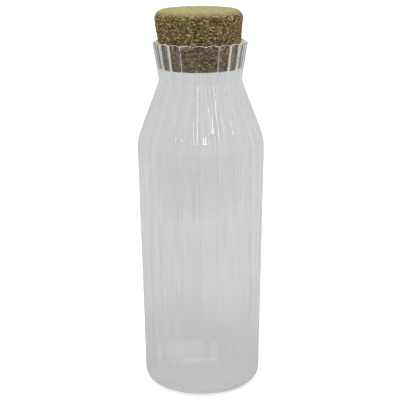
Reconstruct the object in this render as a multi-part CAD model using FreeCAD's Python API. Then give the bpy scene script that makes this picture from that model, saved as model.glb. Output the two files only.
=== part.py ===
import FreeCAD, Part
import math
import os

from FreeCAD import Vector

# A fluted glass carafe and the tapered cork that stops it.
# Millimetres, +Z up, the origin under the middle of the foot.
# The glass is blown into a ribbed mould: narrow ribs stand out between broad hollow flutes.
# Outer sizes of the glass are taken at the ribs, and inner sizes behind the middle of a flute.

# Body of the glass
flute_count = 22
body_radius = 46.6
base_radius = 43.4
corner_radius = 9.0
shoulder_height = 179.8
shoulder_arc_radius = 39.0

# Neck and mouth
neck_radius = 30.35
slope_height = 51.2
neck_arc_radius = 8.0
mouth_radius = 34.2
mouth_height = 25.0

# Wall, and the flutes pressed into it
wall = 2.0
flute_depth = 1.2
inner_ripple = 0.6
flute_fade_length = 16.0
rib_round_share = 0.12

# Rim: fire polishing leaves it a little lower at each rib
rim_wave = 0.9
rim_wave_reach = 7.0

# Base of the glass
floor_thickness = 5.0
inner_corner_radius = 8.0
floor_dome_height = 2.0
floor_ring_width = 3.0
foot_ring_width = 7.0
push_up_height = 3.5

# Cork
cork_height = 42.0
cork_seat_depth = 17.0
cork_taper_share = 0.116
cork_top_round = 6.0
cork_bottom_round = 1.2
cork_clearance = 0.25

# Where the flute's section is sampled, from a rib's crest at 0 to the middle of a flute at 1
column_shares = (0.0, 0.08, 0.18, 0.36, 0.66, 1.0)
# How many spans each stretch of the wall is sampled in; a straight stretch needs one
corner_span_count = 3
fade_span_count = 5
straight_span_count = 1
shoulder_span_count = 4
neck_span_count = 4
rim_span_count = 4
lip_span_count = 6

axis_point = Vector(0, 0, 0)
axis_direction = Vector(0, 0, 1)
full_turn = 360
first_rib_angle = -99
pitch_angle = full_turn / flute_count
neck_height = shoulder_height + slope_height
rim_height = neck_height + mouth_height
flute_foot_height = max(corner_radius, floor_thickness + inner_corner_radius)


def spot(radius, height):
    """A point of the section, in the XZ plane."""
    return Vector(radius, 0, height)


def leaning(angle):
    """The normal of a line that leans from upright by this angle, towards the axis where it is positive."""
    return Vector(math.cos(angle), 0, math.sin(angle))


def lean_touching(gap, reach):
    """The lean of the line whose normal meets the vector gap over the distance reach."""
    return math.atan2(gap.z, gap.x) - math.acos(reach / math.hypot(gap.x, gap.z))


def section_frame():
    """The arcs' centres and the leans of the body, shoulder and mouth, which the two faces of the wall share."""
    shoulder = spot(body_radius - shoulder_arc_radius, shoulder_height)
    neck = spot(neck_radius + neck_arc_radius, neck_height)
    base = spot(base_radius, 0)
    mouth = spot(mouth_radius, rim_height)
    to_base = Vector(base.x - shoulder.x, 0, shoulder.z - base.z)
    to_mouth = Vector(neck.x - mouth.x, 0, mouth.z - neck.z)
    return {
        "shoulder": shoulder,
        "neck": neck,
        "base": base,
        "mouth": mouth,
        "body_lean": -lean_touching(to_base, shoulder_arc_radius),
        "cone_lean": lean_touching(neck - shoulder, shoulder_arc_radius + neck_arc_radius),
        "flare_lean": -lean_touching(to_mouth, neck_arc_radius),
    }


def arc(centre, radius, lean_from, lean_to):
    """An arc about a centre, between the normals of two leans. A negative radius is a hollow arc."""
    middle = (lean_from + lean_to) / 2
    ends = [centre + leaning(lean) * radius for lean in (lean_from, middle, lean_to)]
    return Part.Arc(*ends).toShape()


def line(start, end):
    return Part.LineSegment(start, end).toShape()


def start_of(edge):
    return edge.valueAt(edge.FirstParameter)


def end_of(edge):
    return edge.valueAt(edge.LastParameter)


def at_height(low, high, height):
    """The point at a height on the line through two points."""
    return low + (high - low) * ((height - low.z) / (high.z - low.z))


def wall_section(inset, floor, corner):
    """The section's stretches from the floor up to the mouth, set in from the ribs, with the spans of each."""
    frame = section_frame()
    body, cone, flare = frame["body_lean"], frame["cone_lean"], frame["flare_lean"]
    foot = frame["base"] - leaning(body) * inset
    corner_height = floor + corner
    corner_reach = foot.x - (corner_height - foot.z) * math.tan(body)
    corner_centre = spot(corner_reach - corner / math.cos(body), corner_height)
    bottom = arc(corner_centre, corner, -math.pi / 2, body)
    shoulder = arc(frame["shoulder"], shoulder_arc_radius - inset, body, cone)
    neck = arc(frame["neck"], -neck_arc_radius - inset, cone, flare)
    mouth = frame["mouth"] - leaning(flare) * inset
    fade_end = at_height(end_of(bottom), start_of(shoulder), flute_foot_height + flute_fade_length)
    rim_start = at_height(end_of(neck), mouth, mouth.z - rim_wave_reach)
    return [
        (bottom, corner_span_count),
        (line(end_of(bottom), fade_end), fade_span_count),
        (line(fade_end, start_of(shoulder)), straight_span_count),
        (shoulder, shoulder_span_count),
        (line(end_of(shoulder), start_of(neck)), straight_span_count),
        (neck, neck_span_count),
        (line(end_of(neck), rim_start), straight_span_count),
        (line(rim_start, mouth), rim_span_count),
    ]


def outer_section():
    return wall_section(0, 0, corner_radius)


def inner_section():
    return wall_section(flute_depth + wall, floor_thickness, inner_corner_radius)


def eased(value, low, high):
    """0 below low and 1 above high, with a smooth rise between."""
    share = min(max((value - low) / (high - low), 0), 1)
    return share * share * (3 - 2 * share)


def flute_share(distance):
    """How deep the flute is at a distance from the rib's crest, both as shares. The rib is rounded."""
    def rounded(value):
        return math.hypot(value, rib_round_share) - rib_round_share

    reach = rounded(distance) / rounded(1)
    return reach * (2 - reach)


class Upright:
    """One line up a stretch of the wall: its points, their values along it, and the tangents at its ends."""

    def __init__(self, points, values, start, end):
        self.points = points
        self.values = values
        self.start = start
        self.end = end

    def turned(self, angle):
        turn = FreeCAD.Rotation(axis_direction, angle)
        points = [turn.multVec(point) for point in self.points]
        return Upright(points, self.values, turn.multVec(self.start), turn.multVec(self.end))

    def curve(self):
        if len(self.points) > 2:
            return spline(self.points, self.values, self.start, self.end)
        straight = Part.BSplineCurve()
        straight.buildFromPolesMultsKnots(self.points, [2, 2], self.values, False, 1)
        return straight


def spline(points, values, start, end):
    """The curve that meets the points at these values, leaving and arriving along two tangents."""
    curve = Part.BSplineCurve()
    curve.interpolate(Points=points, Parameters=values, InitialTangent=start, FinalTangent=end, Scale=False)
    return curve


def wall_upright(edge, spans, swing, sink):
    """A stretch of the wall moved out by swing where the flutes have their full depth, and down by sink at the rim."""
    points, plain, ways = [], [], []
    for step in range(spans + 1):
        value = edge.FirstParameter + (edge.LastParameter - edge.FirstParameter) * step / spans
        point, along = edge.valueAt(value), edge.tangentAt(value)
        out = Vector(along.z, 0, -along.x)
        fade = eased(point.z, flute_foot_height, flute_foot_height + flute_fade_length)
        drop = eased(point.z, rim_height - rim_wave_reach, rim_height) * (point.z > neck_height)
        points.append(point + out * (swing * fade) - along * (sink * drop))
        plain.append(point)
        ways.append(along)
    stretch = points[0].distanceToPoint(points[1]) / plain[0].distanceToPoint(plain[1])
    values = [edge.Length * step / spans for step in range(spans + 1)]
    return Upright(points, values, ways[0] * stretch, ways[-1] * stretch)


def lip_upright(outer, inner, rise):
    """The rounded lip, from the top of the outside over to the top of the inside."""
    middle, half = (outer + inner) / 2, (outer - inner) / 2
    points, values = [], []
    for step in range(lip_span_count + 1):
        turn = math.pi * step / lip_span_count
        points.append(middle + half * math.cos(turn) + rise * (half.Length * math.sin(turn)))
        values.append(turn)
    return Upright(points, values, rise * half.Length, -rise * half.Length)


def wall_uprights(distance, outer, inner):
    """The stretches of the wall's whole section at a distance from a rib, outside, lip and inside."""
    hollow = flute_share(distance)
    sink = rim_wave * (1 - hollow)
    outside = [wall_upright(edge, spans, -flute_depth * hollow, sink) for edge, spans in outer]
    inside = [wall_upright(edge, spans, inner_ripple * (1 - hollow), sink) for edge, spans in inner]
    rise = outer[-1][0].tangentAt(outer[-1][0].LastParameter)
    return outside + [lip_upright(outside[-1].points[-1], inside[-1].points[-1], rise)] + inside


def face_through(uprights, turns):
    """The smooth face through the same stretch at several turns about the axis."""
    curves = [upright.curve() for upright in uprights]
    hoops = []
    for row in zip(*[curve.getPoles() for curve in curves]):
        hoops.append(spline(list(row), turns, axis_direction.cross(row[0]), axis_direction.cross(row[-1])))
    along, across = curves[0], hoops[0]
    surface = Part.BSplineSurface()
    surface.buildFromPolesMultsKnots(
        [hoop.getPoles() for hoop in hoops],
        along.getMultiplicities(), across.getMultiplicities(),
        along.getKnots(), across.getKnots(),
        False, False, along.Degree, across.Degree)
    return surface.toShape()


def flute_panel():
    """The faces of one rib with half a flute each side, from the foot over the lip to the floor."""
    outer, inner = outer_section(), inner_section()
    distances = [-share for share in column_shares[:0:-1]] + list(column_shares)
    angles = [distance * pitch_angle / 2 for distance in distances]
    columns = []
    for distance, angle in zip(distances, angles):
        columns.append([upright.turned(angle) for upright in wall_uprights(abs(distance), outer, inner)])
    turns = [math.radians(angle) for angle in angles]
    return [face_through(uprights, turns) for uprights in zip(*columns)]


def patterned(shape):
    """Copies of a shape at every rib, the first of which nearly faces the front, which is -Y."""
    copies = []
    for number in range(flute_count):
        copy = shape.copy()
        copy.rotate(axis_point, axis_direction, first_rib_angle + number * pitch_angle)
        copies.append(copy)
    return copies


def closing_faces(edge, height, ring_width, dome_height):
    """What closes the wall at the foot or the floor: a flat ring inside the edge, and a shallow dome inside that."""
    outline = Part.Wire(Part.__sortEdges__(patterned(edge)))
    dome_radius = edge.Vertexes[0].Point.x / math.cos(math.radians(pitch_angle / 2)) - ring_width
    circle = Part.Wire(Part.makeCircle(dome_radius, Vector(0, 0, height)))
    ring = Part.makeFace([outline, circle], "Part::FaceMakerBullseye")
    rim_spot, crown = spot(dome_radius, height), spot(0, height + dome_height)
    dome_sphere = (dome_radius ** 2 + dome_height ** 2) / (2 * dome_height)
    half_angle = math.asin(dome_radius / dome_sphere) / 2
    drop = dome_sphere * (1 - math.cos(half_angle))
    quarter = spot(dome_sphere * math.sin(half_angle), crown.z - drop)
    dome = Part.Arc(rim_spot, quarter, crown).toShape().revolve(axis_point, axis_direction, full_turn)
    return [ring, dome]


def edge_at(faces, height):
    """The level edge of the faces at this height."""
    def away(edge):
        return abs(edge.BoundBox.ZMin - height) + abs(edge.BoundBox.ZMax - height)

    return min([edge for face in faces for edge in face.Edges], key=away)


def glass_carafe():
    panel = flute_panel()
    faces = [copy for face in panel for copy in patterned(face)]
    faces += closing_faces(edge_at(panel, 0), 0, foot_ring_width, push_up_height)
    faces += closing_faces(edge_at(panel, floor_thickness), floor_thickness, floor_ring_width, floor_dome_height)
    sewn = Part.makeCompound(faces)
    sewn.sewShape()
    solid = Part.Solid(sewn.Shells[0])
    if solid.Volume < 0:
        solid.reverse()
    return solid


def mouth_room(height):
    """The radius that the inside of the mouth leaves free at a height."""
    level = line(spot(0, height), spot(mouth_radius, height))
    inside = Part.Wire([edge for edge, spans in inner_section()])
    return level.distToShape(inside)[1][0][1].x


def cork_stopper():
    """A cone as thick as the tightest ring of the mouth lets it be, with a well rounded head."""
    bottom = rim_height - cork_seat_depth
    top = bottom + cork_height
    rings = (bottom, max(bottom, neck_height), rim_height)
    fits = [mouth_room(ring) - cork_clearance - cork_taper_share * (ring - bottom) for ring in rings]
    bottom_radius = min(fits)
    top_radius = bottom_radius + cork_taper_share * cork_height
    corners = [spot(0, bottom), spot(bottom_radius, bottom), spot(top_radius, top), spot(0, top)]
    face = Part.Face(Part.makePolygon(corners + corners[:1]))
    cone = face.revolve(axis_point, axis_direction, full_turn)
    head = [edge for edge in cone.Edges if edge.BoundBox.ZMin > top - cork_top_round]
    rounded = cone.makeFillet(cork_top_round, [edge for edge in head if edge.Length > top_radius])
    foot = [edge for edge in rounded.Edges if edge.BoundBox.ZMax < bottom + cork_bottom_round]
    return rounded.makeFillet(cork_bottom_round, [edge for edge in foot if edge.Length > bottom_radius])


def main():
    os.makedirs("parts", exist_ok=True)
    pieces = {"glass_carafe": glass_carafe(), "cork_stopper": cork_stopper()}
    for name, shape in pieces.items():
        shape.exportStep(f"parts/{name}.step")
        box = shape.BoundBox
        print(name, "valid", shape.isValid(), "solids", len(shape.Solids), "volume", round(shape.Volume),
              "box", [round(v, 2) for v in (box.XLength, box.YLength, box.ZMin, box.ZMax)])


main()
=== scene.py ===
"""Fluted glass carafe with a cork stopper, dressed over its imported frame."""

import math

import bmesh
import bpy
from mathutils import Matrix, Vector


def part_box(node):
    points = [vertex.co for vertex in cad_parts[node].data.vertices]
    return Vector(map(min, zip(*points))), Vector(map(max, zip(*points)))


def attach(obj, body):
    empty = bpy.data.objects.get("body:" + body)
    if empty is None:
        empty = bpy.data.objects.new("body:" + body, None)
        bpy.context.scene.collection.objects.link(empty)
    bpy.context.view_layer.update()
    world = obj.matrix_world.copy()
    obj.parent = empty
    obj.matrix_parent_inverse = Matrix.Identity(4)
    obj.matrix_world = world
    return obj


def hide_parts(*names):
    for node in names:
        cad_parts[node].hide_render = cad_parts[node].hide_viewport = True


bl_info = {
    "name": "Fluted Carafe and Cork",
    "version": (1, 0, 0),
    "blender": (4, 5, 0),
    "location": "View3D > Sidebar > Carafe",
    "description": "Builds a fluted glass carafe, its cork stopper and a plain stage",
    "category": "Object",
}

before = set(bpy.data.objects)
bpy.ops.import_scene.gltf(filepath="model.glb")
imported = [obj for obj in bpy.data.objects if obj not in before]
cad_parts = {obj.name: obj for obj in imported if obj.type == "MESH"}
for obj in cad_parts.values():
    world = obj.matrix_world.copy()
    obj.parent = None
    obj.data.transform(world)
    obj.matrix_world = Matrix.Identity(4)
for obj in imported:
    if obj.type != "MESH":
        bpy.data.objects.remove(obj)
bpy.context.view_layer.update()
CORK_LOW, CORK_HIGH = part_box("cork_stopper")

# Points closer than this are one point
WELD = 0.00002

# Bends are drawn in steps of this angle
BEND_STEP = math.radians(7.0)

# Rings from the edge of a dome to its crown
DOME_RINGS = 7

# How far apart the glass has its rows where the skin waves, and elsewhere
CLOSE_ROWS = 0.0022
WIDE_ROWS = 0.008

# Columns of the glass in half a flute, and the power that crowds them at the rib
HALF_COLUMNS = 11
CROWDING = 1.7

# An edge of the lip lies this near the highest point and turns by more than this angle
LIP_BAND = 0.0015
LIP_TURN = 0.8

# Steps in the round of each edge of the lip
LIP_STEPS = 9

# How far apart the cork has its rows, and how many columns go round it
CORK_ROWS = 0.0007
CORK_COLUMNS = 360

# Side of the floor, and its height: a hair above the foot ring, so that no two faces lie in one plane
FLOOR_SIDE = 12.0
FLOOR_HEIGHT = 0.00005

# Where the floor's tones start, in front of the axis, and how deep they go
TONES_START = -0.45
TONES_DEPTH = 1.8

# The floor is warmer by this share as far behind the axis as this
WARMTH = 0.006
WARM_REACH = 0.2

# Lamps face this point on the axis, by the shoulder
LAMP_AIM = Vector((0.0, 0.0, 0.2))

# Light runs along inside the glass walls and meets them many times
BOUNCES = 100


def linear(code):
    """An sRGB hex colour as the linear RGBA that shaders take."""
    channels = [int(code[place:place + 2], 16) / 255 for place in (1, 3, 5)]
    return tuple(c / 12.92 if c <= 0.04045 else ((c + 0.055) / 1.055) ** 2.4 for c in channels) + (1.0,)


def size(name, description, default):
    """A length that a user may change, in metres."""
    return bpy.props.FloatProperty(
        name=name, description=description, default=default, min=0.0, unit="LENGTH", precision=5)


def share(name, description, default):
    """A share from 0 to 1 that a user may change."""
    return bpy.props.FloatProperty(
        name=name, description=description, default=default, min=0.0, max=1.0, subtype="FACTOR")


def turn(name, description, degrees):
    """An angle that a user may change."""
    return bpy.props.FloatProperty(
        name=name, description=description, default=math.radians(degrees), subtype="ANGLE")


def tint(name, description, code):
    """A colour that a user may change."""
    return bpy.props.FloatVectorProperty(
        name=name, description=description, default=linear(code), size=4, min=0.0, max=1.0, subtype="COLOR")


class CarafeGlass(bpy.types.PropertyGroup):
    """Sizes of the glass. Outer sizes are at the ribs."""

    base_radius: size("Base radius", "Radius where the body would meet the table", 0.0434)
    base_round: size("Base round", "Radius of the foot's outer corner", 0.009)
    body_radius: size("Body radius", "Widest radius, at the middle of the shoulder's bend", 0.0466)
    shoulder_height: size("Shoulder height", "Height of the widest radius", 0.1798)
    shoulder_round: size("Shoulder round", "Radius of the bend at the shoulder", 0.039)
    neck_radius: size("Neck radius", "Narrowest radius, at the middle of the neck's bend", 0.03035)
    neck_height: size("Neck height", "Height of the narrowest radius", 0.231)
    neck_round: size("Neck round", "Radius of the hollow bend at the neck", 0.008)
    mouth_radius: size("Mouth radius", "Outer radius of the flared mouth", 0.0342)
    mouth_height: size("Mouth height", "Height at which the lip starts to round", 0.256)
    lip: size("Lip", "How far the round of the lip reaches above the mouth", 0.0026)
    lip_round: share("Lip round", "Share of the wall at a rib that each edge of the lip rounds", 0.44)
    wall: size("Wall", "Thickness of the glass behind the middle of a flute", 0.002)
    floor: size("Floor", "Thickness of the floor at its edge", 0.005)
    floor_round: size("Floor round", "Radius of the inside corner at the floor", 0.008)
    floor_ring: size("Floor ring", "Width of the flat ring round the floor's dome", 0.003)
    floor_dome: size("Floor dome", "Rise of the floor's middle", 0.002)
    foot_ring: size("Foot ring", "Width of the ring that the carafe stands on", 0.007)
    push_up: size("Push-up", "Rise of the hollow under the foot", 0.0035)
    flute_count: bpy.props.IntProperty(
        name="Flutes", description="Flutes round the glass", default=22, min=6)
    first_rib: turn("First rib", "Turn of the first rib from +X", -99.0)
    flute_depth: size("Flute depth", "Depth of a flute below the ribs", 0.0012)
    inner_ripple: size("Inner ripple", "How far the inside follows the ribs", 0.0006)
    neck_rib: share("Neck rib", "Share of half a flute that a rib rounds at the neck", 0.06)
    body_rib: share("Body rib", "Share of half a flute that a rib rounds on the body", 0.6)
    flute_foot: size("Flute foot", "Height where the flutes begin", 0.013)
    flute_fade: size("Flute fade", "Height over which the flutes reach their full depth", 0.016)
    rim_dip: size("Rim dip", "How much lower the lip is at each rib", 0.0009)
    rim_reach: size("Rim reach", "Height below the lip that dips with it", 0.007)
    unevenness: size("Unevenness", "Slow thick and thin of blown glass", 0.0004)
    outer_wave: size("Outer wave", "Usual width of the outside's thick and thin", 0.035)
    inner_wave: size("Inner wave", "Usual width of the inside's thick and thin", 0.028)
    wave_fade: size("Wave fade", "Height over which the thick and thin fades at the foot and the rim", 0.03)
    streak_width: size("Streak width", "Usual width of the mould's streaks", 0.012)
    streak_length: size("Streak length", "Usual length of the mould's streaks", 0.08)
    streak_depth: size("Streak depth", "Depth of the mould's streaks", 0.0002)
    glass_tint: tint("Glass tint", "Colour of the glass", "#FEFFFF")


class CarafeCork(bpy.types.PropertyGroup):
    """Sizes and colours of the cork."""

    head_growth: size("Head growth", "How much larger the head's radius is than the frame's", 0.0004)
    top_round: size("Top round", "Radius of the head's edge", 0.0065)
    bottom_round: size("Bottom round", "Radius of the foot's edge", 0.0012)
    taper: share("Taper", "Growth of the radius with height", 0.116)
    seat_depth: size("Seat depth", "How far the cork goes into the mouth", 0.017)
    aside: size("Aside", "How far to the left the head stands of its seat", 0.00085)
    aside_below: size("Aside below", "How far below the mouth's edge the cork starts to move aside", 0.006)
    aside_above: size("Aside above", "How far above the mouth's edge it is fully aside", 0.014)
    granule: size("Granule", "Usual width of a cork granule", 0.002)
    mottle: size("Mottle", "Usual width of the mottling within the granules", 0.0013)
    flake: size("Flake", "Usual length of the pale flat flakes", 0.0022)
    hue_drift: size("Hue drift", "Usual width of the slow drifts of hue", 0.01)
    pit: size("Pit", "Usual spacing of the places where a pit may be", 0.0045)
    pit_share: share("Pit share", "Share of those places that have an open pit", 0.4)
    relief: size("Relief", "Depth of the seams between granules", 0.00014)
    pit_depth: size("Pit depth", "Depth of the open pits", 0.00045)
    grain_depth: size("Grain depth", "Depth of the fine grain that only the shading shows", 0.0004)
    # The sanded top's tone, painted paler partly as light from above, runs out between these depths
    sanded_and_lit_reach: size("Sanded reach", "How far below the top the sanding runs out", 0.0048)
    sanded_and_lit_full: size("Sanded full", "How far below the top the sanding is at its full", 0.0004)
    bark_tint: tint("Bark", "Colour of the darkest granules", "#33240F")
    brown_tint: tint("Brown cork", "Usual colour of the granules", "#5A4625")
    olive_tint: tint("Olive cork", "Colour of the greenish granules", "#76673B")
    pale_tint: tint("Pale cork", "Colour of freshly cut granules", "#AB9566")
    rust_tint: tint("Rust", "Colour of the reddish granules", "#7D5843")
    ochre_tint: tint("Ochre", "Colour of the yellowish granules", "#94793A")
    flake_tint: tint("Flakes", "Colour of the flat flakes", "#DCC192")
    # The seams' glue colour, also painted into the open pits as painted shade in the holes
    glue_and_pit_shade_tint: tint("Seams", "Colour of the glue in the seams and of the pits", "#2C1F12")
    # The sanded top's even tone, painted paler than the sides partly as light falling on the top
    cut_and_top_light_tint: tint("Cut face", "Even tone of the sanded top", "#ACA36F")


class CarafeStage(bpy.types.PropertyGroup):
    """The camera's place and the backdrop's tones. The floor's tones are those that the glass shows."""

    camera_distance: size("Camera distance", "How far the camera stands in front of the axis", 0.7737)
    camera_height: size("Camera height", "Height of the camera", 0.3462)
    camera_aside: bpy.props.FloatProperty(
        name="Camera aside", description="Camera's place to the right", default=-0.00086, unit="LENGTH",
        precision=5)
    camera_tilt: turn("Camera tilt", "How far the camera looks down", 14.916)
    camera_roll: turn("Camera roll", "Turn about the line of sight", -0.41)
    camera_lens: bpy.props.FloatProperty(name="Lens", description="Focal length in mm", default=96.68)
    left_tone: share("Left tone", "Brightness of the room on the left", 0.60)
    right_tone: share("Right tone", "Brightness of the room on the right", 0.69)
    front_share: share("Front share", "How bright the room in front is, beside the rest", 0.92)
    ceiling_gain: bpy.props.FloatProperty(
        name="Ceiling gain", description="How bright the ceiling is, beside the rest", default=1.7)
    neck_gain: share("Neck gain", "Added share of the light that comes to the cork through the glass", 0.25)
    front_tone: share("Front tone", "Brightness of the floor in front", 0.36)
    floor_tone: share("Floor tone", "Brightness of the floor under the carafe", 0.515)
    back_tone: share("Back tone", "Brightness of the floor just behind", 0.63)
    mid_tone: share("Middle tone", "Brightness of the floor further behind", 0.643)
    lit_tone: share("Lit tone", "Brightness of the floor's lit edge behind", 0.672)
    past_tone: share("Past tone", "Brightness of the floor just past the lit edge", 0.628)
    far_tone: share("Far tone", "Brightness of the floor far behind", 0.616)


def only(piece):
    """Makes this the one selected and active object."""
    bpy.ops.object.select_all(action="DESELECT")
    piece.select_set(True)
    bpy.context.view_layer.objects.active = piece


def node(tree, kind, inputs=None, **settings):
    """Adds a node with its settings and its inputs, each a plain value or the socket that feeds it."""
    made = tree.nodes.new(kind)
    for name, value in settings.items():
        setattr(made, name, value)
    for name, value in (inputs or {}).items():
        if isinstance(value, bpy.types.NodeSocket):
            tree.links.new(value, made.inputs[name])
        else:
            made.inputs[name].default_value = value
    return made


def new_material(name):
    """An empty node material and its tree."""
    material = bpy.data.materials.new(name)
    material.use_nodes = True
    material.node_tree.nodes.clear()
    return material, material.node_tree


def eased(value, low, high):
    """0 below low and 1 above high, with a smooth rise between."""
    reach = min(max((value - low) / (high - low), 0.0), 1.0)
    return reach * reach * (3.0 - 2.0 * reach)


def crossing(start, along, other, other_along):
    """Where two lines of the section meet."""
    cross = along.x * other_along.y - along.y * other_along.x
    gap = other - start
    return start + along * ((gap.x * other_along.y - gap.y * other_along.x) / cross)


def divided(start, end, spacing_at):
    """Points along a straight run, as close together as its height asks for."""
    run = end - start
    points = []
    walked = spacing_at(start.y)
    while walked < run.length - spacing_at(end.y) / 2:
        points.append(start + run * (walked / run.length))
        walked += spacing_at(points[-1].y)
    return points


def bend_points(before, spot, after, bend):
    """Points round a corner of the section."""
    swing = math.atan2(before.x * after.y - before.y * after.x, before.dot(after))
    reach = bend * math.tan(abs(swing) / 2)
    centre = spot - before * reach + Vector((-before.y, before.x)) * math.copysign(bend, swing)
    spoke = spot - before * reach - centre
    steps = max(2, math.ceil(abs(swing) / BEND_STEP))
    points = []
    for step in range(steps + 1):
        angle = swing * step / steps
        points.append(centre + Vector((spoke.x * math.cos(angle) - spoke.y * math.sin(angle),
                                       spoke.x * math.sin(angle) + spoke.y * math.cos(angle))))
    return points


def rounded(corners, spacing_at):
    """Points along a run of section corners, with each corner rounded and each straight run divided."""
    points = [corners[0][0]]
    for number in range(1, len(corners)):
        spot, bend = corners[number]
        arc = [spot]
        if bend > 0.0 and number < len(corners) - 1:
            before = (spot - corners[number - 1][0]).normalized()
            after = (corners[number + 1][0] - spot).normalized()
            arc = bend_points(before, spot, after, bend)
        points += divided(points[-1], arc[0], spacing_at)
        points += arc
    return points


def drawn_section(name, points):
    """A new object with the section as a chain of edges, drawn by extruding a vertex from point to point."""
    bpy.ops.object.select_all(action="DESELECT")
    # The plane is merged to one vertex, so its size makes no difference
    bpy.ops.mesh.primitive_plane_add(size=1.0, location=(0.0, 0.0, 0.0))
    piece = bpy.context.object
    piece.name = name
    piece.data.name = name
    bpy.ops.object.mode_set(mode="EDIT")
    bpy.ops.mesh.select_mode(type="VERT")
    bpy.ops.mesh.select_all(action="SELECT")
    bpy.ops.mesh.merge(type="CENTER")
    bpy.ops.transform.translate(value=(points[0].x, 0.0, points[0].y))
    for start, end in zip(points, points[1:]):
        move = (end.x - start.x, 0.0, end.y - start.y)
        bpy.ops.mesh.extrude_region_move(TRANSFORM_OT_translate={"value": move})
    return piece


def closed():
    """Welds the skin in edit mode and turns its faces outwards."""
    bpy.ops.mesh.select_all(action="SELECT")
    bpy.ops.mesh.remove_doubles(threshold=WELD)
    bpy.ops.mesh.normals_make_consistent(inside=False)
    bpy.ops.object.mode_set(mode="OBJECT")


def weighted(piece, name, weight_of):
    """A vertex group whose weights come from each vertex."""
    group = piece.vertex_groups.new(name=name)
    for vertex in piece.data.vertices:
        weight = weight_of(vertex)
        if weight > 0.0:
            group.add([vertex.index], weight, "REPLACE")
    return name


def displaced(piece, group, strength, direction="NORMAL", texture=None):
    """Pushes a piece's skin along its normals, or along an axis, and applies it."""
    only(piece)
    push = piece.modifiers.new("push", "DISPLACE")
    push.direction = direction
    push.strength = strength
    push.mid_level = 0.0
    push.vertex_group = group
    if texture:
        push.texture = texture
        push.texture_coords = "LOCAL"
        push.mid_level = 0.5
    bpy.ops.object.modifier_apply(modifier=push.name)


def lean_touching(gap, reach):
    """The lean of a line that passes the far end of a gap at a distance, reach, on its normal's side."""
    return math.atan2(gap.y, gap.x) - math.acos(reach / gap.length)


def leaning(lean):
    """The way along a line that leans from upright by this angle, towards the axis where it is positive."""
    return Vector((-math.sin(lean), math.cos(lean)))


def outer_corners(sizes):
    """Where the straight runs of the outside would meet, from the table to the mouth, with each bend."""
    foot = Vector((sizes.base_radius, 0.0))
    mouth = Vector((sizes.mouth_radius, sizes.mouth_height))
    shoulder_arc = Vector((sizes.body_radius - sizes.shoulder_round, sizes.shoulder_height))
    neck_arc = Vector((sizes.neck_radius + sizes.neck_round, sizes.neck_height))
    to_foot = Vector((foot.x - shoulder_arc.x, shoulder_arc.y - foot.y))
    to_mouth = Vector((neck_arc.x - mouth.x, mouth.y - neck_arc.y))
    body = leaning(-lean_touching(to_foot, sizes.shoulder_round))
    slope = leaning(lean_touching(neck_arc - shoulder_arc, sizes.shoulder_round + sizes.neck_round))
    flare = leaning(-lean_touching(to_mouth, sizes.neck_round))
    slope_foot = shoulder_arc + Vector((slope.y, -slope.x)) * sizes.shoulder_round
    shoulder = crossing(foot, body, slope_foot, slope)
    neck = crossing(slope_foot, slope, mouth, flare)
    lip = mouth + (mouth - neck).normalized() * sizes.lip
    return [
        (foot, sizes.base_round),
        (shoulder, sizes.shoulder_round),
        (neck, sizes.neck_round),
        (lip, 0.0),
    ]


def inset(corners, distance):
    """An open run of section corners, (point, round), moved to its left by a distance."""
    points = [point for point, bend in corners]
    ways = [(end - start).normalized() for start, end in zip(points, points[1:])]
    lefts = [Vector((-way.y, way.x)) * distance for way in ways]
    moved = [(points[0] + lefts[0], 0.0)]
    for number in range(1, len(points) - 1):
        before, after = ways[number - 1], ways[number]
        spot = crossing(points[number] + lefts[number - 1], before, points[number] + lefts[number], after)
        swing = before.x * after.y - before.y * after.x
        bend = corners[number][1] - distance if swing > 0 else corners[number][1] + distance
        moved.append((spot, bend))
    moved.append((points[-1] + lefts[-1], 0.0))
    return moved


def dome(radius, height, rise):
    """Points from the edge of a shallow dome in to its crown."""
    points = []
    for ring in range(DOME_RINGS + 1):
        out = 1.0 - ring / DOME_RINGS
        points.append(Vector((radius * out, height + rise * (1.0 - out ** 2))))
    return points


def glass_section(sizes):
    """Points of the section, from the middle of the underside over the lip to the middle of the floor."""
    outer = outer_corners(sizes)
    inner = inset(outer, sizes.flute_depth + sizes.wall)
    body_way = inner[1][0] - inner[0][0]
    inner_foot = inner[0][0] + body_way * ((sizes.floor - inner[0][0].y) / body_way.y)
    inner[0] = (inner_foot, sizes.floor_round)
    stand = sizes.base_radius - sizes.base_round - sizes.foot_ring
    dish = inner_foot.x - sizes.floor_round - sizes.floor_ring
    under = dome(stand, 0.0, sizes.push_up)[::-1]
    over = dome(dish, sizes.floor, sizes.floor_dome)
    outside = [(point, 0.0) for point in under] + outer
    inside = inner[::-1] + [(point, 0.0) for point in over]

    def spacing_at(height):
        """Rows are close where the flutes fade and where the rim waves."""
        fading = height < sizes.flute_foot + sizes.flute_fade
        waving = height > sizes.mouth_height - sizes.rim_reach
        return CLOSE_ROWS if fading or waving else WIDE_ROWS

    return rounded(outside, spacing_at) + rounded(inside, spacing_at)


def fluted(piece, sizes):
    """Spins the section through one flute, with columns close together at the rib, and copies that round."""
    pitch = math.tau / sizes.flute_count
    stops = []
    for column in range(-HALF_COLUMNS, HALF_COLUMNS + 1):
        away = (abs(column) / HALF_COLUMNS) ** CROWDING
        stops.append(math.copysign(away, column) * pitch / 2)
    axis = {"center": (0.0, 0.0, 0.0), "axis": (0.0, 0.0, 1.0)}
    bpy.ops.mesh.select_all(action="SELECT")
    for before, after in zip(stops, stops[1:]):
        bpy.ops.mesh.spin(steps=1, angle=after - before, **axis)
    bpy.ops.mesh.select_all(action="SELECT")
    bpy.ops.mesh.spin(steps=sizes.flute_count - 1, angle=math.tau - pitch, dupli=True, **axis)
    closed()
    only(piece)
    piece.rotation_euler.z = sizes.first_rib + pitch / 2
    bpy.ops.object.transform_apply(location=False, rotation=True, scale=False)


def faces_out(vertex):
    """True on the outside of the wall."""
    return vertex.normal.x * vertex.co.x + vertex.normal.y * vertex.co.y > 0.0


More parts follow.
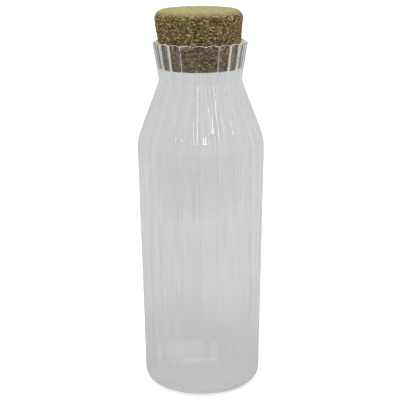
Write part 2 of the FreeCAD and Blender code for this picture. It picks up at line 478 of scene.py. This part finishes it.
def press_flutes(piece, sizes):
    """Presses the flutes into the outside, a softer ripple into the inside, and dips into the rim."""
    pitch = math.tau / sizes.flute_count
    top = sizes.mouth_height

    def hollow(vertex):
        """0 at a rib and 1 in the middle of a flute; the ribs sharpen from the shoulder to the neck."""
        angle = math.atan2(vertex.co.y, vertex.co.x) - sizes.first_rib
        away = abs((angle + pitch / 2) % pitch - pitch / 2) / (pitch / 2)
        up = eased(vertex.co.z, sizes.shoulder_height, sizes.neck_height)
        bend = sizes.body_rib + (sizes.neck_rib - sizes.body_rib) * up
        reach = (math.hypot(away, bend) - bend) / (math.hypot(1.0, bend) - bend)
        return reach * (2.0 - reach)

    def full(vertex):
        """0 at the foot and 1 where the flutes have their full depth."""
        return eased(vertex.co.z, sizes.flute_foot, sizes.flute_foot + sizes.flute_fade)

    def pressed(vertex):
        """Where the outside goes in to make the flutes."""
        return hollow(vertex) * full(vertex) * faces_out(vertex)

    def followed(vertex):
        """Where the inside goes out behind the ribs."""
        return (1.0 - hollow(vertex)) * full(vertex) * (not faces_out(vertex))

    def dipped(vertex):
        """Where the rim goes down at the ribs."""
        return (1.0 - hollow(vertex)) * eased(vertex.co.z, top - sizes.rim_reach, top)

    flutes = weighted(piece, "flutes", pressed)
    ripple = weighted(piece, "ripple", followed)
    rim = weighted(piece, "rim", dipped)
    displaced(piece, flutes, -sizes.flute_depth)
    displaced(piece, ripple, -sizes.inner_ripple)
    displaced(piece, rim, -sizes.rim_dip, "Z")


def round_lip(piece, sizes):
    """Rounds both edges of the lip."""
    only(piece)
    bpy.ops.object.mode_set(mode="EDIT")
    bpy.ops.mesh.select_mode(type="EDGE")
    mesh = bmesh.from_edit_mesh(piece.data)
    for edge in mesh.edges:
        edge.select = False
    highest = max(vertex.co.z for vertex in mesh.verts)
    for edge in mesh.edges:
        low = min(vertex.co.z for vertex in edge.verts)
        if low > highest - LIP_BAND and len(edge.link_faces) == 2 and edge.calc_face_angle() > LIP_TURN:
            edge.select = True
    mesh.select_flush_mode()
    bmesh.update_edit_mesh(piece.data)
    reach = (sizes.flute_depth + sizes.wall) * sizes.lip_round
    bpy.ops.mesh.bevel(offset=reach, segments=LIP_STEPS, profile=0.5, affect="EDGES")
    bpy.ops.mesh.select_all(action="SELECT")
    bpy.ops.mesh.remove_doubles(threshold=WELD)
    bpy.ops.object.mode_set(mode="OBJECT")


def make_uneven(piece, sizes):
    """Gives both faces of the wall the slow thick and thin of blown glass, but not the foot and the rim."""
    low = sizes.flute_foot
    high = sizes.mouth_height
    fade = sizes.wave_fade

    def loose(vertex):
        """0 at the foot and the rim, and 1 between them."""
        return eased(vertex.co.z, low, low + fade) * (1.0 - eased(vertex.co.z, high - fade, high))

    outside = weighted(piece, "outside", lambda vertex: loose(vertex) * faces_out(vertex))
    inside = weighted(piece, "inside", lambda vertex: loose(vertex) * (not faces_out(vertex)))
    faces = ((outside, "IMPROVED_PERLIN", sizes.outer_wave), (inside, "ORIGINAL_PERLIN", sizes.inner_wave))
    for group, basis, width in faces:
        waves = bpy.data.textures.new(group, "CLOUDS")
        waves.noise_basis = basis
        waves.noise_scale = width
        waves.noise_depth = 1
        displaced(piece, group, sizes.unevenness, texture=waves)


def clear_glass(sizes):
    """Soda-lime glass, blown and fire polished: clear and bright, with long faint streaks from the mould."""
    material, tree = new_material("soda_lime_glass")
    place = node(tree, "ShaderNodeTexCoord")
    across = 1.0 / sizes.streak_width
    drawn = node(tree, "ShaderNodeMapping", {
        "Vector": place.outputs["Object"], "Scale": (across, across, 1.0 / sizes.streak_length)})
    streak = node(tree, "ShaderNodeTexNoise", {
        "Vector": drawn.outputs["Vector"], "Scale": 1.0, "Detail": 0.0})
    bump = node(tree, "ShaderNodeBump", {
        "Height": streak.outputs["Fac"], "Strength": 0.5, "Distance": sizes.streak_depth})
    glass = node(tree, "ShaderNodeBsdfPrincipled", {
        "Base Color": sizes.glass_tint, "Roughness": 0.0, "IOR": 1.52, "Transmission Weight": 1.0,
        "Normal": bump.outputs["Normal"]})
    node(tree, "ShaderNodeOutputMaterial", {"Surface": glass.outputs["BSDF"]})
    return material


class CARAFE_OT_glass(bpy.types.Operator):
    """Spins the glass from its section, then presses the flutes into it"""

    bl_idname = "carafe.glass"
    bl_label = "Glass Carafe"

    def execute(self, context):
        sizes = context.scene.carafe_glass
        piece = drawn_section("fluted_glass", glass_section(sizes))
        fluted(piece, sizes)
        press_flutes(piece, sizes)
        round_lip(piece, sizes)
        make_uneven(piece, sizes)
        only(piece)
        bpy.ops.object.shade_smooth()
        piece.data.materials.append(clear_glass(sizes))
        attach(piece, "carafe")
        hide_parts("glass_carafe")
        return {"FINISHED"}


def spun(piece):
    """Spins the section into a closed skin about the axis."""
    bpy.ops.object.mode_set(mode="OBJECT")
    only(piece)
    spin = piece.modifiers.new("spin", "SCREW")
    spin.steps = CORK_COLUMNS
    spin.render_steps = CORK_COLUMNS
    bpy.ops.object.modifier_apply(modifier=spin.name)
    bpy.ops.object.mode_set(mode="EDIT")
    closed()


def granules(tree, place, sizes):
    """The pressed pattern that the cork's relief and colours share: granules, their seams and open pits."""
    # Granules lie flat, half as wide again as high
    flatness = 1.5
    flat = node(tree, "ShaderNodeVectorMath", {0: place, 1: (1.0, 1.0, flatness)}, operation="MULTIPLY")
    # Their edges are ragged, with jags a little finer than the granules
    jags_per_granule = 1.6
    jag = 0.6 * sizes.granule
    stir = node(tree, "ShaderNodeTexNoise", {
        "Vector": flat.outputs[0], "Scale": jags_per_granule / sizes.granule, "Detail": 2.0})
    bent = node(tree, "ShaderNodeVectorMath", {
        0: stir.outputs["Color"], 1: (jag, jag, jag), 2: flat.outputs[0]}, operation="MULTIPLY_ADD")
    cells = {"Vector": bent.outputs[0], "Scale": 1.0 / sizes.granule}
    grain = node(tree, "ShaderNodeTexVoronoi", cells)
    seam = node(tree, "ShaderNodeTexVoronoi", cells, feature="DISTANCE_TO_EDGE")
    pit = node(tree, "ShaderNodeTexVoronoi", {"Vector": bent.outputs[0], "Scale": 1.0 / sizes.pit})
    return grain, seam, pit


def open_pits(tree, cells, sizes, near, far):
    """1 in the middle of the cells that chance makes open pits, falling from near to far to 0."""
    luck = node(tree, "ShaderNodeSeparateXYZ", {0: cells.outputs["Color"]})
    kept = node(tree, "ShaderNodeMath", {
        0: luck.outputs["X"], 1: 1.0 - sizes.pit_share}, operation="GREATER_THAN")
    inside = node(tree, "ShaderNodeMapRange", {
        "Value": cells.outputs["Distance"], "From Min": near, "From Max": far, "To Min": 1.0, "To Max": 0.0})
    both = node(tree, "ShaderNodeMath", {
        0: kept.outputs[0], 1: inside.outputs["Result"]}, operation="MULTIPLY")
    return both.outputs[0]


def roughened(piece, sizes):
    """Sinks the seams and the pits of the granules into the cork's skin."""
    tree = bpy.data.node_groups.new("cork_relief", "GeometryNodeTree")
    tree.interface.new_socket("Geometry", in_out="INPUT", socket_type="NodeSocketGeometry")
    tree.interface.new_socket("Geometry", in_out="OUTPUT", socket_type="NodeSocketGeometry")
    source = node(tree, "NodeGroupInput")
    place = node(tree, "GeometryNodeInputPosition")
    grain, seam, pit = granules(tree, place.outputs["Position"], sizes)
    groove = node(tree, "ShaderNodeMapRange", {
        "Value": seam.outputs["Distance"], "From Max": 0.3, "To Min": -sizes.relief, "To Max": 0.0},
        interpolation_type="SMOOTHSTEP")
    pits = open_pits(tree, pit, sizes, near=0.05, far=0.3)
    deep = node(tree, "ShaderNodeMath", {
        0: pits, 1: -sizes.pit_depth, 2: groove.outputs["Result"]}, operation="MULTIPLY_ADD")
    normal = node(tree, "GeometryNodeInputNormal")
    push = node(tree, "ShaderNodeVectorMath", {
        0: normal.outputs["Normal"], "Scale": deep.outputs[0]}, operation="SCALE")
    moved = node(tree, "GeometryNodeSetPosition", {
        "Geometry": source.outputs[0], "Offset": push.outputs[0]})
    node(tree, "NodeGroupOutput", {0: moved.outputs[0]})
    only(piece)
    relief = piece.modifiers.new("relief", "NODES")
    relief.node_group = tree
    bpy.ops.object.modifier_apply(modifier=relief.name)


def push_aside(piece, sizes):
    """Moves the cork's head to the left of its seat, as it was pressed in."""
    seat = CORK_LOW[2] + sizes.seat_depth
    low = seat - sizes.aside_below
    high = seat + sizes.aside_above
    head = weighted(piece, "head", lambda vertex: eased(vertex.co.z, low, high))
    displaced(piece, head, -sizes.aside, "X")


def granule_browns(tree, grain, mottle, sizes):
    """The granules' browns: each has its own shade, mottled within."""
    spread = 0.13
    luck = node(tree, "ShaderNodeSeparateXYZ", {0: grain.outputs["Color"]})
    jump = node(tree, "ShaderNodeMapRange", {
        "Value": luck.outputs["X"], "To Min": -spread, "To Max": spread})
    shade = node(tree, "ShaderNodeMath", {
        0: mottle.outputs["Fac"], 1: jump.outputs["Result"]}, operation="ADD")
    browns = node(tree, "ShaderNodeValToRGB", {"Fac": shade.outputs[0]})
    stops = browns.color_ramp.elements
    stops.remove(stops[1])
    stops[0].position = 0.3
    stops[0].color = sizes.bark_tint
    for level, colour in ((0.42, sizes.brown_tint), (0.56, sizes.olive_tint), (0.69, sizes.pale_tint)):
        stops.new(level).color = colour
    return browns.outputs["Color"]


def drifting_hue(tree, spot, colour, sizes):
    """Slow drifts of a colour's hue, to rust one way and to ochre the other."""
    drift = node(tree, "ShaderNodeTexNoise", {"Vector": spot, "Scale": 1.0 / sizes.hue_drift, "Detail": 2.0})
    # Each hue, the drift at which it starts, the drift at which it is strongest, and its strength there
    hues = ((sizes.rust_tint, 0.5, 0.64, 0.5), (sizes.ochre_tint, 0.46, 0.34, 0.6))
    for hue, none, most, strength in hues:
        amount = node(tree, "ShaderNodeMapRange", {
            "Value": drift.outputs["Fac"], "From Min": none, "From Max": most, "To Max": strength})
        hued = node(tree, "ShaderNodeMix", {
            0: amount.outputs["Result"], 6: colour, 7: hue}, data_type="RGBA", blend_type="COLOR")
        colour = hued.outputs[2]
    return colour


def flat_flakes(tree, spot, sizes):
    """1 on the pale flakes, which lie flat and are less than half as high as long, and 0 elsewhere."""
    flatness = 2.3
    lying = node(tree, "ShaderNodeMapping", {"Vector": spot, "Scale": (1.0, 1.0, flatness)})
    scrap = node(tree, "ShaderNodeTexNoise", {
        "Vector": lying.outputs["Vector"], "Scale": 1.0 / sizes.flake, "Detail": 2.0, "Roughness": 0.6})
    flakes = node(tree, "ShaderNodeMapRange", {
        "Value": scrap.outputs["Fac"], "From Min": 0.58, "From Max": 0.635})
    return flakes.outputs["Result"]


def sanding_and_top_light(tree, spot, sizes):
    """How much the sanded top's even tone covers the cork, a tone painted paler partly as light from above:
    most on top, running out over the rounded edge.
    """
    height = node(tree, "ShaderNodeSeparateXYZ", {0: spot})
    sanded_lit_top = node(tree, "ShaderNodeMapRange", {
        "Value": height.outputs["Z"], "From Min": CORK_HIGH[2] - sizes.sanded_and_lit_reach,
        "From Max": CORK_HIGH[2] - sizes.sanded_and_lit_full, "To Max": 0.8}, interpolation_type="SMOOTHSTEP")
    return sanded_lit_top.outputs["Result"]


def pressed_cork(sizes):
    """Pressed cork: fine flat granules in many browns, pits painted dark as their shade, pale flakes, sanded
    even on top and painted paler there partly as light from above; matt.
    """
    material, tree = new_material("pressed_cork")
    place = node(tree, "ShaderNodeTexCoord")
    spot = place.outputs["Object"]
    grain, seam, pit = granules(tree, spot, sizes)
    # The mottling is a little longer than high
    flatness = 1.3
    layered = node(tree, "ShaderNodeMapping", {"Vector": spot, "Scale": (1.0, 1.0, flatness)})
    mottle = node(tree, "ShaderNodeTexNoise", {
        "Vector": layered.outputs["Vector"], "Scale": 1.0 / sizes.mottle, "Detail": 3.0, "Roughness": 0.7})
    glue = node(tree, "ShaderNodeMapRange", {
        "Value": seam.outputs["Distance"], "From Max": 0.12, "To Min": 0.2, "To Max": 0.0})
    colour = drifting_hue(tree, spot, granule_browns(tree, grain, mottle, sizes), sizes)
    layers = (
        (flat_flakes(tree, spot, sizes), sizes.flake_tint),
        (glue.outputs["Result"], sizes.glue_and_pit_shade_tint),
        # Painted shade in the open pits, in the seams' glue colour
        (open_pits(tree, pit, sizes, near=0.1, far=0.22), sizes.glue_and_pit_shade_tint),
        # The sanded top's even tone, partly painted light from above
        (sanding_and_top_light(tree, spot, sizes), sizes.cut_and_top_light_tint),
    )
    for amount, over in layers:
        covered = node(tree, "ShaderNodeMix", {0: amount, 6: colour, 7: over}, data_type="RGBA")
        colour = covered.outputs[2]
    # The fine grain follows the mottling, and sinks a little at the seams
    seam_share = 0.4
    rise = node(tree, "ShaderNodeMath", {
        0: seam.outputs["Distance"], 1: seam_share, 2: mottle.outputs["Fac"]}, operation="MULTIPLY_ADD")
    bump = node(tree, "ShaderNodeBump", {
        "Height": rise.outputs[0], "Strength": 0.5, "Distance": sizes.grain_depth})
    skin = node(tree, "ShaderNodeBsdfPrincipled", {
        "Base Color": colour, "Roughness": 0.85, "Specular IOR Level": 0.2,
        "Normal": bump.outputs["Normal"]})
    node(tree, "ShaderNodeOutputMaterial", {"Surface": skin.outputs["BSDF"]})
    return material


class CARAFE_OT_cork(bpy.types.Operator):
    """Spins the cork from its section, then roughens it with granules"""

    bl_idname = "carafe.cork"
    bl_label = "Cork Stopper"

    def execute(self, context):
        sizes = context.scene.carafe_cork
        low, high = CORK_LOW[2], CORK_HIGH[2]
        head = (CORK_HIGH[0] - CORK_LOW[0]) / 2 + sizes.head_growth
        foot = head - sizes.taper * (high - low)
        corners = [
            (Vector((0.0, low)), 0.0),
            (Vector((foot, low)), sizes.bottom_round),
            (Vector((head, high)), sizes.top_round),
            (Vector((0.0, high)), 0.0),
        ]
        piece = drawn_section("cork", rounded(corners, lambda height: CORK_ROWS))
        spun(piece)
        roughened(piece, sizes)
        push_aside(piece, sizes)
        only(piece)
        bpy.ops.object.shade_smooth()
        piece.data.materials.append(pressed_cork(sizes))
        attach(piece, "stopper")
        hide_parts("cork_stopper")
        return {"FINISHED"}


def soft_oval(tree, spot, middle, reach, core, gain):
    """The gain of a soft oval on the floor: full within its core, a share of its reach, and 1 outside it."""
    moved = node(tree, "ShaderNodeVectorMath", {0: spot, 1: (*middle, 0.0)}, operation="SUBTRACT")
    oval = node(tree, "ShaderNodeVectorMath", {0: moved.outputs[0], 1: (*reach, 1.0)}, operation="DIVIDE")
    away = node(tree, "ShaderNodeVectorMath", {0: oval.outputs[0]}, operation="LENGTH")
    shown = node(tree, "ShaderNodeMapRange", {
        "Value": away.outputs["Value"], "From Min": core, "To Min": gain, "To Max": 1.0},
        interpolation_type="SMOOTHSTEP")
    return shown.outputs["Result"]


def floor_tones(tree, depth, stage):
    """Greys of the floor: dark in front of the carafe, and lighter behind it up to a lit edge."""
    reach = node(tree, "ShaderNodeMapRange", {
        "Value": depth, "From Min": TONES_START, "From Max": TONES_START + TONES_DEPTH})
    graded = node(tree, "ShaderNodeValToRGB", {"Fac": reach.outputs["Result"]})
    stops = graded.color_ramp.elements
    stops.remove(stops[1])
    tones = (
        (TONES_START, stage.front_tone),
        (-0.12, stage.floor_tone),
        (0.02, stage.floor_tone),
        (0.18, stage.back_tone),
        (0.32, stage.mid_tone),
        (0.42, stage.lit_tone),
        (0.52, stage.past_tone),
        (1.0, stage.far_tone),
    )
    for behind, tone in tones:
        stop = stops[0] if behind == TONES_START else stops.new((behind - TONES_START) / TONES_DEPTH)
        warmth = WARMTH if behind < WARM_REACH else 0.0
        stop.color = (tone * (1.0 + warmth), tone, tone * (1.0 - warmth), 1.0)
    return graded.outputs["Color"]


def floor_in_glass(tree, stage):
    """The floor as the glass shows it: graded greys with faint patches of light and a soft shadow."""
    place = node(tree, "ShaderNodeTexCoord")
    spot = place.outputs["Object"]
    sides = node(tree, "ShaderNodeSeparateXYZ", {0: spot})
    tones = floor_tones(tree, sides.outputs["Y"], stage)
    # A little lighter on the right
    side_reach = 0.06
    side_gain = 0.03
    side = node(tree, "ShaderNodeMapRange", {
        "Value": sides.outputs["X"], "From Min": -side_reach, "From Max": side_reach,
        "To Min": 1.0 - side_gain, "To Max": 1.0 + side_gain})
    # Patches that the flutes draw out into streaks
    patch_width = 0.08
    patch_depth = 0.3
    patch_gain = 0.075
    patch = node(tree, "ShaderNodeMapping", {
        "Vector": spot, "Scale": (1.0 / patch_width, 1.0 / patch_depth, 1.0)})
    cloud = node(tree, "ShaderNodeTexNoise", {
        "Vector": patch.outputs["Vector"], "Scale": 1.0, "Detail": 1.0})
    drift = node(tree, "ShaderNodeMapRange", {
        "Value": cloud.outputs["Fac"], "From Min": 0.3, "From Max": 0.7,
        "To Min": 1.0 - patch_gain, "To Max": 1.0 + patch_gain})
    # Light that the glass gathers under its own back, and its soft shadow behind on the left
    gathered = soft_oval(tree, spot, middle=(-0.0155, 0.042), reach=(0.031, 0.032), core=0.6, gain=1.1)
    shadow = soft_oval(tree, spot, middle=(-0.045, 0.16), reach=(0.036, 0.062), core=0.2, gain=0.93)
    strength = side.outputs["Result"]
    for factor in (drift.outputs["Result"], gathered, shadow):
        product = node(tree, "ShaderNodeMath", {0: strength, 1: factor}, operation="MULTIPLY")
        strength = product.outputs[0]
    shown = node(tree, "ShaderNodeEmission", {"Color": tones, "Strength": strength})
    return shown.outputs["Emission"]


def pale_floor(stage):
    """A plain floor: white with a soft shadow to the camera, and graded greys where the glass shows it."""
    bpy.ops.object.select_all(action="DESELECT")
    bpy.ops.mesh.primitive_plane_add(size=FLOOR_SIDE, location=(0.0, 0.0, FLOOR_HEIGHT))
    floor = bpy.context.object
    floor.name = "floor"
    material, tree = new_material("matt_white_floor")
    path = node(tree, "ShaderNodeLightPath")
    plain = node(tree, "ShaderNodeBsdfDiffuse", {"Color": linear("#C8C8C8")})
    bright = node(tree, "ShaderNodeBsdfDiffuse", {"Color": linear("#FAFAFA")})
    # A glow lifts the floor to white and leaves the shadow at the foot
    lift = node(tree, "ShaderNodeEmission", {"Strength": 0.45})
    white = node(tree, "ShaderNodeAddShader", {0: bright.outputs["BSDF"], 1: lift.outputs["Emission"]})
    bent = node(tree, "ShaderNodeMath", {
        0: path.outputs["Is Glossy Ray"], 1: path.outputs["Is Transmission Ray"]}, operation="MAXIMUM")
    # Rays on their way from the cork find the lit floor instead
    first = node(tree, "ShaderNodeMath", {0: path.outputs["Diffuse Depth"], 1: 0.5}, operation="LESS_THAN")
    in_glass = node(tree, "ShaderNodeMath", {0: bent.outputs[0], 1: first.outputs[0]}, operation="MULTIPLY")
    lit = node(tree, "ShaderNodeMixShader", {
        0: in_glass.outputs[0], 1: plain.outputs["BSDF"], 2: floor_in_glass(tree, stage)})
    shown = node(tree, "ShaderNodeMixShader", {
        0: path.outputs["Is Camera Ray"], 1: lit.outputs["Shader"], 2: white.outputs["Shader"]})
    node(tree, "ShaderNodeOutputMaterial", {"Surface": shown.outputs["Shader"]})
    floor.data.materials.append(material)


def room_light(tree, path, stage):
    """Strength of the room: darker on the left and in front, with a ceiling that lights the matt things."""
    way = node(tree, "ShaderNodeTexCoord")
    sides = node(tree, "ShaderNodeSeparateXYZ", {0: way.outputs["Generated"]})
    tone = node(tree, "ShaderNodeMapRange", {
        "Value": sides.outputs["X"], "From Min": -1.0, "To Min": stage.left_tone,
        "To Max": stage.right_tone})
    front = node(tree, "ShaderNodeMapRange", {
        "Value": sides.outputs["Y"], "From Min": -0.7, "From Max": 0.1, "To Min": stage.front_share})
    shaded = node(tree, "ShaderNodeMath", {
        0: tone.outputs["Result"], 1: front.outputs["Result"]}, operation="MULTIPLY")
    ceiling = node(tree, "ShaderNodeMapRange", {
        "Value": sides.outputs["Z"], "From Min": 0.2, "From Max": 0.7, "To Min": 1.0,
        "To Max": stage.ceiling_gain})
    topped = node(tree, "ShaderNodeMath", {
        0: shaded.outputs[0], 1: ceiling.outputs["Result"]}, operation="MULTIPLY")
    # Light that reaches the cork through the glass is a little stronger, for what the lamps can't send there
    through = node(tree, "ShaderNodeMath", {
        0: path.outputs["Is Transmission Ray"], 1: stage.neck_gain, 2: 1.0}, operation="MULTIPLY_ADD")
    lighting = node(tree, "ShaderNodeMath", {
        0: topped.outputs[0], 1: through.outputs[0]}, operation="MULTIPLY")
    # The bright ceiling lights the matt things, and the glass shows the room without it
    matt = node(tree, "ShaderNodeMath", {
        0: path.outputs["Diffuse Depth"], 1: 0.5}, operation="GREATER_THAN")
    strength = node(tree, "ShaderNodeMix", {
        0: matt.outputs[0], 2: shaded.outputs[0], 3: lighting.outputs[0]})
    return strength.outputs[0]


def pale_room(stage):
    """A room that is white to the camera and grey to the glass and the light."""
    world = bpy.data.worlds.new("pale_room")
    bpy.context.scene.world = world
    world.use_nodes = True
    tree = world.node_tree
    tree.nodes.clear()
    path = node(tree, "ShaderNodeLightPath")
    plain = linear("#FFFFFF")
    room = node(tree, "ShaderNodeBackground", {"Color": plain, "Strength": room_light(tree, path, stage)})
    white = node(tree, "ShaderNodeBackground", {"Color": plain, "Strength": 1.0})
    shown = node(tree, "ShaderNodeMixShader", {
        0: path.outputs["Is Camera Ray"], 1: room.outputs["Background"], 2: white.outputs["Background"]})
    node(tree, "ShaderNodeOutputWorld", {"Surface": shown.outputs["Shader"]})


def area_lamp(name, bearing, height, reach, width, length, brightness):
    """A rectangular lamp, at a bearing to the right of the front and a height above level, both in degrees.

    Its brightness is beside that of a white page in the room, so its power follows its size.
    """
    lamp = bpy.data.lights.new(name, "AREA")
    lamp.shape = "RECTANGLE"
    lamp.size = width
    lamp.size_y = length
    lamp.energy = brightness * math.pi * width * length
    holder = bpy.data.objects.new(name, lamp)
    bpy.context.scene.collection.objects.link(holder)
    turned = math.radians(bearing)
    raised = math.radians(height)
    level = math.cos(raised)
    away = Vector((math.sin(turned) * level, -math.cos(turned) * level, math.sin(raised)))
    holder.location = LAMP_AIM + away * reach
    holder.rotation_euler = (-away).to_track_quat("-Z", "Y").to_euler()
    # The glass mirrors the lamp, and shows only the room through itself
    holder.visible_transmission = False
    return holder


def lamps():
    """A broad lamp overhead, and lamps that the glass mirrors as bright lines on its shoulder and lip."""
    area_lamp("overhead_softbox", bearing=-120.0, height=80.0, reach=1.2,
              width=1.0, length=1.0, brightness=1.2)
    mirrored = (
        area_lamp("left_strip", bearing=-24.0, height=22.0, reach=1.25,
                  width=0.05, length=0.16, brightness=15.0),
        area_lamp("front_strip", bearing=18.0, height=28.0, reach=1.25,
                  width=0.04, length=0.36, brightness=16.0),
        area_lamp("right_strip", bearing=59.0, height=24.0, reach=1.25,
                  width=0.05, length=0.06, brightness=15.0),
        area_lamp("lip_softbox", bearing=0.0, height=72.0, reach=1.25,
                  width=1.0, length=1.0, brightness=6.0),
    )
    # These are there for their reflections, and add no light of their own to the cork
    for holder in mirrored:
        holder.visible_diffuse = False


def camera(stage):
    """The camera, in front and a little above, looking down at the carafe."""
    lens = bpy.data.cameras.new("camera")
    lens.lens = stage.camera_lens
    lens.sensor_width = 36.0
    lens.sensor_fit = "HORIZONTAL"
    holder = bpy.data.objects.new("camera", lens)
    bpy.context.scene.collection.objects.link(holder)
    holder.location = (stage.camera_aside, -stage.camera_distance, stage.camera_height)
    holder.rotation_mode = "XYZ"
    holder.rotation_euler = (math.pi / 2 - stage.camera_tilt, 0.0, 0.0)
    holder.rotation_euler.rotate_axis("Z", stage.camera_roll)
    bpy.context.scene.camera = holder


class CARAFE_OT_stage(bpy.types.Operator):
    """Sets the floor, the room, the lamps and the camera"""

    bl_idname = "carafe.stage"
    bl_label = "Stage"

    def execute(self, context):
        stage = context.scene.carafe_stage
        pale_floor(stage)
        pale_room(stage)
        lamps()
        camera(stage)
        context.scene.view_settings.view_transform = "Standard"
        paths = context.scene.cycles
        paths.max_bounces = BOUNCES
        paths.glossy_bounces = BOUNCES
        paths.transmission_bounces = BOUNCES
        return {"FINISHED"}


class CARAFE_PT_panel(bpy.types.Panel):
    """Lists the carafe's pieces and their sizes"""

    bl_label = "Carafe"
    bl_idname = "CARAFE_PT_panel"
    bl_space_type = "VIEW_3D"
    bl_region_type = "UI"
    bl_category = "Carafe"

    def draw(self, context):
        for maker in OPERATORS:
            self.layout.operator(maker.bl_idname)
        for group in ("carafe_glass", "carafe_cork", "carafe_stage"):
            box = self.layout.box()
            settings = getattr(context.scene, group)
            for name in settings.__annotations__:
                box.prop(settings, name)


OPERATORS = (CARAFE_OT_glass, CARAFE_OT_cork, CARAFE_OT_stage)
CLASSES = (CarafeGlass, CarafeCork, CarafeStage) + OPERATORS + (CARAFE_PT_panel,)


def register():
    for kind in CLASSES:
        bpy.utils.register_class(kind)
    bpy.types.Scene.carafe_glass = bpy.props.PointerProperty(type=CarafeGlass)
    bpy.types.Scene.carafe_cork = bpy.props.PointerProperty(type=CarafeCork)
    bpy.types.Scene.carafe_stage = bpy.props.PointerProperty(type=CarafeStage)


def unregister():
    del bpy.types.Scene.carafe_stage
    del bpy.types.Scene.carafe_cork
    del bpy.types.Scene.carafe_glass
    for kind in reversed(CLASSES):
        bpy.utils.unregister_class(kind)


def main():
    register()
    bpy.ops.carafe.glass()
    bpy.ops.carafe.cork()
    bpy.ops.carafe.stage()


if __name__ == "__main__":
    main()
